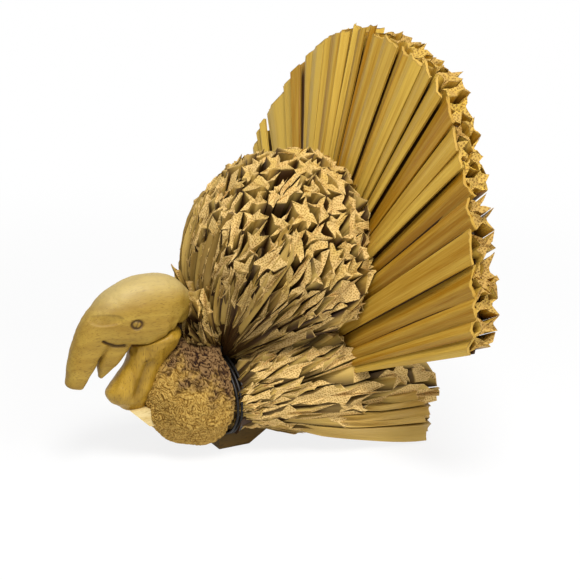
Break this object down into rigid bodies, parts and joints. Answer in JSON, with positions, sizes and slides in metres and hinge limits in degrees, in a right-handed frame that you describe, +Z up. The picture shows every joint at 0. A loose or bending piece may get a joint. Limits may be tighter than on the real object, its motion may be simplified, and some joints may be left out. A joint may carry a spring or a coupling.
{
  "type": "decorative turkey figure",
  "caption": "Free-standing table figure of a turkey with a carved wooden head and wattle and a body, wings and fanned tail of bound dried rush leaf.",
  "frame": {"origin": "centre of the flat underside of the keel's foot", "axes": "+Z up, the bird looks along -Y, its left wing is on +X"},
  "size_m": [0.2893, 0.2161, 0.2438],
  "materials": {
    "keel_wood": "sawn, oiled",
    "pale_wood": "sawn, bare",
    "carved_wood": "carved and sanded, waxed",
    "wattle_wood": "knife carved, waxed",
    "dowel_wood": "turned, glued in",
    "shavings": "fine dried leaf shavings, matt",
    "rush_leaf": "dried rush leaf with open cut ends, matt",
    "tail_leaf": "dried rush leaf, smooth and lightly streaked",
    "black_wire": "annealed black binding wire"
  },
  "bodies": {
    "root": {"keel_board": "keel_wood", "neck_block": "pale_wood", "head": "carved_wood", "wattle": "wattle_wood", "head_dowel": "dowel_wood", "wattle_dowel": "dowel_wood", "neck_dowel": "dowel_wood", "breast_bundle": "shavings", "back_bundle": "rush_leaf", "wing_bundle_left": "rush_leaf", "wing_bundle_right": "rush_leaf", "waist_tie": "black_wire", "tail_wire": "black_wire", "tail_leaf_01": "tail_leaf", "tail_leaf_02": "tail_leaf", "tail_leaf_03": "tail_leaf", "tail_leaf_04": "tail_leaf", "tail_leaf_05": "tail_leaf", "tail_leaf_06": "tail_leaf", "tail_leaf_07": "tail_leaf", "tail_leaf_08": "tail_leaf", "tail_leaf_09": "tail_leaf", "tail_leaf_10": "tail_leaf", "tail_leaf_11": "tail_leaf", "tail_leaf_12": "tail_leaf", "tail_leaf_13": "tail_leaf", "tail_leaf_14": "tail_leaf", "tail_leaf_15": "tail_leaf", "tail_leaf_16": "tail_leaf", "tail_leaf_17": "tail_leaf", "tail_leaf_18": "tail_leaf", "tail_leaf_19": "tail_leaf", "tail_leaf_20": "tail_leaf", "tail_leaf_21": "tail_leaf", "tail_leaf_22": "tail_leaf"}
  },
  "joints": []
}
